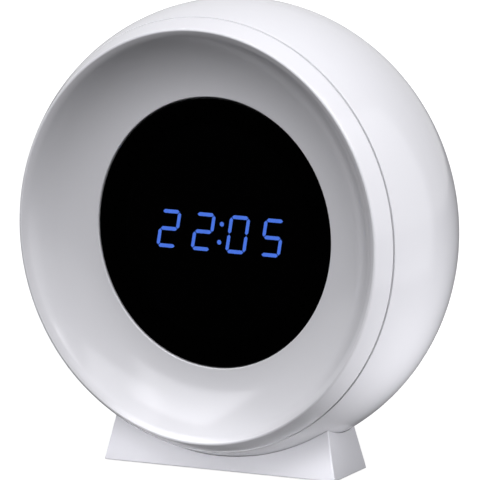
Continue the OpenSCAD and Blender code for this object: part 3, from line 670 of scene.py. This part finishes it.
def ring_places(node):
    """Places across and up of a ring of screws, from the middles of the node's separate solids."""
    bm = bmesh.new()
    bm.from_mesh(frame["nodes"][node].data)
    bmesh.ops.remove_doubles(bm, verts=bm.verts, dist=MERGE_REACH)
    bm.verts.index_update()
    places = []
    left = set(bm.verts)
    while left:
        solid = {left.pop()}
        edge = set(solid)
        while edge:
            edge = {e.other_vert(v) for v in edge for e in v.link_edges} - solid
            solid |= edge
        left -= solid
        # Summed in the mesh's own order, so that every run finds the same middle to the last digit
        in_order = sorted(solid, key=lambda v: v.index)
        middle = sum((v.co for v in in_order), Vector()) / len(solid)
        places.append((middle.x, middle.z - CENTRE.z))
    bm.free()
    return sorted(places)


def middle_of(node):
    """The place across and up of the middle of a frame node's box."""
    low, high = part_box(node)
    return (low.x + high.x) / 2, (low.z + high.z) / 2 - CENTRE.z


def stand_screw_places():
    """Places across and behind of the stand's screws."""
    low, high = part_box("stand_screws")
    behind = (low.y + high.y) / 2
    return [(across, behind) for across, _ in ring_places("stand_screws")]


class CLOCK_OT_front_bowl(bpy.types.Operator):
    """Turn the front bowl with its rim, dish, lens seat and screw posts"""

    bl_idname = "clock.front_bowl"
    bl_label = "Front bowl"

    def execute(self, context):
        s = sizes()
        dish_c, dish_r, (seat_r, _), _ = dish_form()
        case_d, board_d = 6.4 * MM, 4.6 * MM
        case_hole_d, board_hole_d = 2.7 * MM, 2.1 * MM
        board_bite = 4.45 * MM
        case_bite = 8 * MM
        bm = bmesh.new()
        lathe(bm, bowl_outline(), closed=True)
        bowl = to_piece(bm, "front_bowl_moulding")
        posts, holes = bmesh.new(), bmesh.new()
        middle_r = dish_r + s.wall / 2
        for node, wide, start in (
            ("case_screws", case_d, 0.0),
            ("light_ring_screws", board_d, BOARD_FRONT),
            ("display_board_screws", board_d, BOARD_FRONT),
        ):
            for place in ring_places(node):
                inner = math.hypot(*place) - wide / 2
                end = dish_c[1] - math.sqrt(middle_r ** 2 - (inner - dish_c[0]) ** 2)
                end = min(end, SHELF_FRONT - s.shelf_t / 2) if inner < seat_r - case_d / 2 else end
                rod(posts, place, wide, start, end)
                hole_d, bite = (case_hole_d, case_bite) if wide == case_d else (board_hole_d, board_bite)
                rod(holes, place, hole_d, start - OVERCUT, start + bite)
        post_tool = to_piece(posts, "posts")
        seat = bmesh.new()
        inside_wall = 0.1 * MM
        rod(seat, (0, 0), 2 * (seat_r + inside_wall), SHELF_FRONT - inside_wall, RIM_AHEAD)
        combine(post_tool, to_piece(seat, "seat"), "DIFFERENCE")
        combine(bowl, post_tool, "UNION")
        combine(bowl, to_piece(holes, "holes"), "DIFFERENCE")
        dress(bowl, "front_bowl")
        return {"FINISHED"}


def shell_outline():
    """The rear shell's section, from the middle of its back wall round inside, seam and outside."""
    s = sizes()
    front_c, back_c = body_centres()
    shell_edge = s.seam_ahead - s.seam_gap / 2
    inside = s.wall - BACK_DEPTH
    back_in, front_in = s.back_arc - s.wall, s.front_arc - s.wall
    outside = side_outline(shell_edge)
    inner = (
        [(0, inside)]
        + arc((back_c, 0), back_in, math.asin(inside / back_in), 0)[:-1]
        + arc((front_c, 0), front_in, 0, math.asin(shell_edge / front_in))
    )
    return inner + eased(inner[-1], outside[0], outside[1], s.seam_edge) + outside[1:] + [(0, -BACK_DEPTH)]


def mouth(bm, place, diameter, floor):
    """A cutting form for a round hole in the back, with a rounded mouth, down to a floor."""
    edge = sizes().hole_edge
    radius = diameter / 2
    flare_c = (radius + edge, edge - BACK_DEPTH)
    flare = arc(flare_c, edge, math.pi, 1.5 * math.pi, EDGE_STEPS)
    outline = [(0, floor), (radius, floor)] + flare
    outline += [(radius + edge, -BACK_DEPTH - OVERCUT), (0, -BACK_DEPTH - OVERCUT)]
    lathe(bm, outline, Vector((place[0], 0, CENTRE.z + place[1])), steps=SMALL_TURN)


def button_places():
    """Places across and up of the four push buttons, by their frame nodes."""
    return {node: middle_of(node) for node in ("mode_button", "up_button", "down_button", "light_button")}


class CLOCK_OT_rear_shell(bpy.types.Operator):
    """Turn the rear shell with its screw wells, posts and the openings of its back"""

    bl_idname = "clock.rear_shell"
    bl_label = "Rear shell"

    def execute(self, context):
        s = sizes()
        well_d, well_floor, post_d = 6 * MM, -9 * MM, 8.6 * MM
        board_post_d, board_hole_d, board_bite = 4.6 * MM, 2.1 * MM, 4.45 * MM
        pass_d, pilot_d = 2.9 * MM, 2.7 * MM
        boss_d, boss_top, pilot_top = 6.6 * MM, 13.9 * MM, 12.9 * MM
        key_hole_d, sound_hole_d, sound_ring_r = 7.8 * MM, 1.6 * MM, 3 * MM
        sound_holes = 6
        socket_gap = 0.25 * MM
        # The socket's slot is rounded by just under half its height, so that its corners don't meet
        just_over_two = 2.001
        in_wall = s.wall / 2 - BACK_DEPTH
        through = s.wall - BACK_DEPTH + OVERCUT
        bm = bmesh.new()
        lathe(bm, shell_outline())
        shell = to_piece(bm, "rear_shell_moulding")

        posts, holes = bmesh.new(), bmesh.new()
        for place in ring_places("case_screws"):
            rod(posts, place, post_d, in_wall, 0)
            mouth(holes, place, well_d, well_floor)
            rod(holes, place, pass_d, well_floor + OVERCUT, OVERCUT)
        for place in ring_places("control_board_screws"):
            rod(posts, place, board_post_d, in_wall, CONTROL_BACK)
            rod(holes, place, board_hole_d, CONTROL_BACK - board_bite, CONTROL_BACK + OVERCUT)
        for place in button_places().values():
            mouth(holes, place, key_hole_d, through)
        buzzer = middle_of("buzzer")
        ring = [i * FULL_TURN / sound_holes for i in range(sound_holes)]
        spread = [(0, 0)] + [(sound_ring_r * math.cos(a), sound_ring_r * math.sin(a)) for a in ring]
        for across, up in spread:
            rod(holes, (buzzer[0] + across, buzzer[1] + up), sound_hole_d, -BACK_DEPTH - OVERCUT, through)
        low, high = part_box("socket_shell")
        grown = Vector((socket_gap, 0, socket_gap))
        slot_low, slot_high = low - grown, high + grown
        slot_low.y, slot_high.y = -through, BACK_DEPTH + OVERCUT
        slab(holes, slot_low, slot_high, (slot_high.z - slot_low.z) / just_over_two, along=1)
        for place in stand_screw_places():
            foot = CENTRE.z - math.sqrt((BODY_R - s.wall / 2) ** 2 - place[0] ** 2)
            pillar(posts, place, boss_d, foot, boss_top)
            pillar(holes, place, pilot_d, 0, pilot_top)
        combine(shell, to_piece(posts, "posts"), "UNION")
        combine(shell, to_piece(holes, "holes"), "DIFFERENCE")
        dress(shell, "rear_shell")
        return {"FINISHED"}


class CLOCK_OT_lens(bpy.types.Operator):
    """Turn the smoked lens with its rounded front edge"""

    bl_idname = "clock.lens"
    bl_label = "Lens"

    def execute(self, context):
        edge = sizes().lens_edge
        rounding = arc((LENS_R - edge, LENS_FRONT - edge), edge, 0, math.pi / 2, EDGE_STEPS)
        bm = bmesh.new()
        face = [((LENS_R - edge) * share, LENS_FRONT) for share in FACE_RINGS]
        lathe(bm, [(0, LENS_BACK), (LENS_R, LENS_BACK)] + rounding + face)
        dress(to_piece(bm, "smoked_lens"), "display_lens")
        return {"FINISHED"}


class CLOCK_OT_buttons(bpy.types.Operator):
    """Turn the four push buttons with their finger hollows, flanges and stems"""

    bl_idname = "clock.buttons"
    bl_label = "Push buttons"

    def execute(self, context):
        s = sizes()
        cap_d, stem_d, flange_t = 7.4 * MM, 3.2 * MM, 1.2 * MM
        wall_inside = s.wall - BACK_DEPTH
        for node, place in button_places().items():
            low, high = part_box(node)
            back, tip, flange_r = -high.y, -low.y, (high.x - low.x) / 2
            rim = cap_d / 2 - s.key_edge
            sag = (rim ** 2 + s.key_hollow ** 2) / (2 * s.key_hollow)
            half = math.asin(rim / sag)
            quarter = math.pi / 2
            hollow = arc((0, back + s.key_hollow - sag), sag, quarter, quarter - half, 2 * EDGE_STEPS)
            cap = arc((rim, back + s.key_edge), s.key_edge, -quarter, 0, 2 * EDGE_STEPS)
            outline = hollow + cap[1:] + [(cap_d / 2, wall_inside), (flange_r, wall_inside)]
            outline += [(flange_r, wall_inside + flange_t), (stem_d / 2, wall_inside + flange_t)]
            outline += [(stem_d / 2, tip), (0, tip)]
            bm = bmesh.new()
            lathe(bm, outline, Vector((place[0], 0, CENTRE.z + place[1])), steps=2 * SMALL_TURN)
            dress(to_piece(bm, f"{node}_cap"), node)
        return {"FINISHED"}


class CLOCK_OT_stand(bpy.types.Operator):
    """Shape the stand round the body's underside, with its screw holes and pad recess, and its foot pad"""

    bl_idname = "clock.stand"
    bl_label = "Stand and foot pad"

    def execute(self, context):
        s = sizes()
        front, back, foot_half, top = 9.6 * MM, 12.8 * MM, 32.5 * MM, 16 * MM
        side_lean, front_lean, back_lean, side_taper = 0.21, 0.12, 0.3, 0.21
        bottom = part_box("stand")[0].z
        bm = bmesh.new()
        for vert in bmesh.ops.create_cube(bm, size=2)["verts"]:
            side, depth, level = vert.co
            height = top if level > 0 else bottom
            y = back - back_lean * height if depth > 0 else front_lean * height - front
            x = side * (foot_half - side_lean * height - side_taper * (y + front))
            vert.co = (x, y, height)
        lower = [e for e in bm.edges if min(v.co.z for v in e.verts) < top - MM]
        round_edges(bm, lower, s.stand_edge, EDGE_STEPS)
        stand = to_piece(bm, "stand_block")
        body = bmesh.new()
        seam = s.seam_ahead
        lathe(body, [(0, seam)] + side_outline(seam, s.stand_gap) + [(0, -BACK_DEPTH - s.stand_gap)])
        combine(stand, to_piece(body, "body"), "DIFFERENCE")

        pad_low, pad_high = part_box("foot_pad")
        holes = bmesh.new()
        pad_gap, pass_d, head_d, seat = 0.1 * MM, 2.9 * MM, 5.3 * MM, 2.9 * MM
        for place in stand_screw_places():
            pillar(holes, place, head_d, pad_high.z - OVERCUT, seat)
            pillar(holes, place, pass_d, seat - OVERCUT, top)
        combine(stand, to_piece(holes, "holes"), "DIFFERENCE")
        recess = bmesh.new()
        self.pad_form(recess, pad_low, pad_high, side_taper, pad_gap, -OVERCUT, pad_high.z)
        combine(stand, to_piece(recess, "recess"), "DIFFERENCE")
        dress(stand, "stand")

        pad = bmesh.new()
        self.pad_form(pad, pad_low, pad_high, side_taper, 0, pad_low.z, pad_high.z)
        pad_edge, pad_steps = 0.15 * MM, 3
        round_edges(pad, pad.edges[:], pad_edge, pad_steps)
        dress(to_piece(pad, "rubber_foot"), "foot_pad")
        return {"FINISHED"}

    @staticmethod
    def pad_form(bm, low, high, taper, grown, bottom, top):
        """The pad's block, narrower towards the back, grown by a gap."""
        for vert in bmesh.ops.create_cube(bm, size=2)["verts"]:
            side, depth, level = vert.co
            y = high.y + grown if depth > 0 else low.y - grown
            half = high.x + grown - (taper * (high.y - low.y) if depth > 0 else 0)
            vert.co = (side * half, y, top if level > 0 else bottom)


def light_path(tree):
    """One where the camera looks, also through a lens, and zero for light that bounces or is reflected."""
    rays = tree.nodes.new("ShaderNodeLightPath").outputs
    return maths(tree, "MAXIMUM", rays["Is Camera Ray"], rays["Is Transmission Ray"])


class CLOCK_OT_stage(bpy.types.Operator):
    """Set up the floor, the white surroundings, the lamps and the camera"""

    bl_idname = "clock.stage"
    bl_label = "Stage"

    def execute(self, context):
        scene = context.scene
        scene.view_settings.view_transform = "Standard"
        self.add_floor()
        self.add_sky(scene)
        self.add_lamps(scene.clock_stage)
        self.add_camera(scene)
        return {"FINISHED"}

    def add_floor(self):
        radius = 4.0
        # The floor's grey shows the clock's shadow, and its own glow makes up the rest of the white
        paper_light, paper_dark, glow = (0.2, 0.2, 0.2, 1), (0.19, 0.19, 0.19, 1), 0.95
        # A darker grey throws little light back on the clock
        bounce = (0.03, 0.03, 0.03, 1)
        bm = bmesh.new()
        bmesh.ops.create_circle(bm, cap_ends=True, segments=SMALL_TURN, radius=radius)
        floor = to_piece(bm, "studio_floor")
        material, tree, shader = new_material("floor_white")
        fibres = noise(tree, object_place(tree), scale=30.0)
        paper = tinted(tree, fibres, paper_light, paper_dark)
        seen = light_path(tree)
        tree.links.new(tinted(tree, seen, bounce, paper), shader.inputs["Base Color"])
        shader.inputs["Roughness"].default_value = 1.0
        shader.inputs["Specular IOR Level"].default_value = 0.0
        shader.inputs["Emission Color"].default_value = (1, 1, 1, 1)
        tree.links.new(maths(tree, "MULTIPLY", seen, glow), shader.inputs["Emission Strength"])
        material.cycles.emission_sampling = "NONE"
        floor.data.materials.append(material)

    def add_sky(self, scene):
        scene.world = bpy.data.worlds.new("studio_white")
        scene.world.use_nodes = True
        tree = scene.world.node_tree
        sky = tree.nodes["Background"]
        sky.inputs["Color"].default_value = (1, 1, 1, 1)
        glossy = tree.nodes.new("ShaderNodeLightPath").outputs["Is Glossy Ray"]
        mirrored = maths(tree, "MULTIPLY", glossy, scene.clock_stage.gloss)
        even = maths(tree, "MAXIMUM", mirrored, scene.clock_stage.sky)
        tree.links.new(maths(tree, "MAXIMUM", light_path(tree), even), sky.inputs["Strength"])

    def add_lamps(self, stage):
        # Softboxes a metre away, by degrees round the clock and up, and the length of a side in metres
        for name, azimuth, elevation, side, watts in (
            ("front_softbox", -30, 35, 0.6, stage.front_power),
            ("high_softbox", 0, 50, 0.6, stage.high_power),
            ("key_softbox", 60, 50, 0.6, stage.key_power),
            ("low_softbox", 90, 4, 0.14, stage.low_power),
            ("back_softbox", 205, 15, 0.6, stage.back_power),
        ):
            place = CENTRE + direction(math.radians(azimuth), math.radians(elevation))
            lamp = self.add_lamp(name, place, CENTRE, (side, side), watts)
            lamp.visible_glossy = name not in ("low_softbox", "back_softbox")
        # Cards near the clock, by place, aim and size in millimetres, and the angle over which they shine
        for name, place, target, size, watts, spread in (
            ("floor_strip", (0, -60, 3), (0, 0, 3), (90, 4), stage.strip_power, 40),
            ("floor_card", (95, 5, 1), (95, 5, 50), (80, 60), stage.card_power, 180),
            ("front_floor_card", (75, -60, 1), (75, -60, 50), (60, 60), stage.front_card_power, 180),
            ("right_wall", (170, -40, 125), (0, -40, 125), (380, 250), stage.wall_power, 180),
        ):
            lamp = self.add_lamp(name, Vector(place) * MM, Vector(target) * MM, Vector(size) * MM, watts)
            lamp.data.spread = math.radians(spread)
            lamp.visible_diffuse = name != "right_wall"
            lamp.visible_glossy = name == "right_wall"

    def add_lamp(self, name, place, target, size, watts):
        lamp = bpy.data.lights.new(name, "AREA")
        lamp.shape = "RECTANGLE"
        lamp.size, lamp.size_y = size
        lamp.energy = watts
        lamp.color = bpy.context.scene.clock_stage.tint
        holder = bpy.data.objects.new(name, lamp)
        holder.location = place
        holder.rotation_euler = (place - target).to_track_quat("Z", "Y").to_euler()
        bpy.context.scene.collection.objects.link(holder)
        return holder

    def add_camera(self, scene):
        stage = scene.clock_stage
        away = direction(stage.azimuth, stage.elevation)
        turned = away.to_track_quat("Z", "Y")
        up = turned @ Vector((0, 1, 0))
        camera = bpy.data.cameras.new("camera")
        camera.sensor_width = 36
        camera.lens = camera.sensor_width * stage.distance / stage.view_width
        place = bpy.data.objects.new("camera", camera)
        place.location = CENTRE - up * stage.rise + away * stage.distance
        place.rotation_euler = turned.to_euler()
        scene.collection.objects.link(place)
        scene.camera = place


def direction(azimuth, elevation):
    """The way from the clock to a place round it, from straight ahead and up from the horizon."""
    level = math.cos(elevation)
    return Vector((math.sin(azimuth) * level, -math.cos(azimuth) * level, math.sin(elevation)))


STEPS = (
    CLOCK_OT_finishes,
    CLOCK_OT_front_bowl,
    CLOCK_OT_rear_shell,
    CLOCK_OT_lens,
    CLOCK_OT_buttons,
    CLOCK_OT_stand,
    CLOCK_OT_stage,
)


class CLOCK_PT_panel(bpy.types.Panel):
    """The clock's steps and settings"""

    bl_label = "Night Light Clock"
    bl_idname = "CLOCK_PT_panel"
    bl_space_type = "VIEW_3D"
    bl_region_type = "UI"
    bl_category = "Clock"

    def draw(self, context):
        for step in STEPS:
            self.layout.operator(step.bl_idname)
        for settings in (context.scene.clock_sizes, context.scene.clock_colours, context.scene.clock_stage):
            box = self.layout.box()
            for name in settings.__annotations__:
                box.prop(settings, name)


SETTINGS = {"clock_sizes": ClockSizes, "clock_colours": ClockColours, "clock_stage": ClockStage}
CLASSES = (*SETTINGS.values(), *STEPS, CLOCK_PT_panel)


def register():
    for cls in CLASSES:
        bpy.utils.register_class(cls)
    for name, group in SETTINGS.items():
        setattr(bpy.types.Scene, name, bpy.props.PointerProperty(type=group))


def unregister():
    for name in SETTINGS:
        delattr(bpy.types.Scene, name)
    for cls in reversed(CLASSES):
        bpy.utils.unregister_class(cls)


def main():
    register()
    bpy.ops.clock.finishes()
    bpy.ops.clock.front_bowl()
    bpy.ops.clock.rear_shell()
    bpy.ops.clock.lens()
    bpy.ops.clock.buttons()
    bpy.ops.clock.stand()
    bpy.ops.clock.stage()


if __name__ == "__main__":
    main()
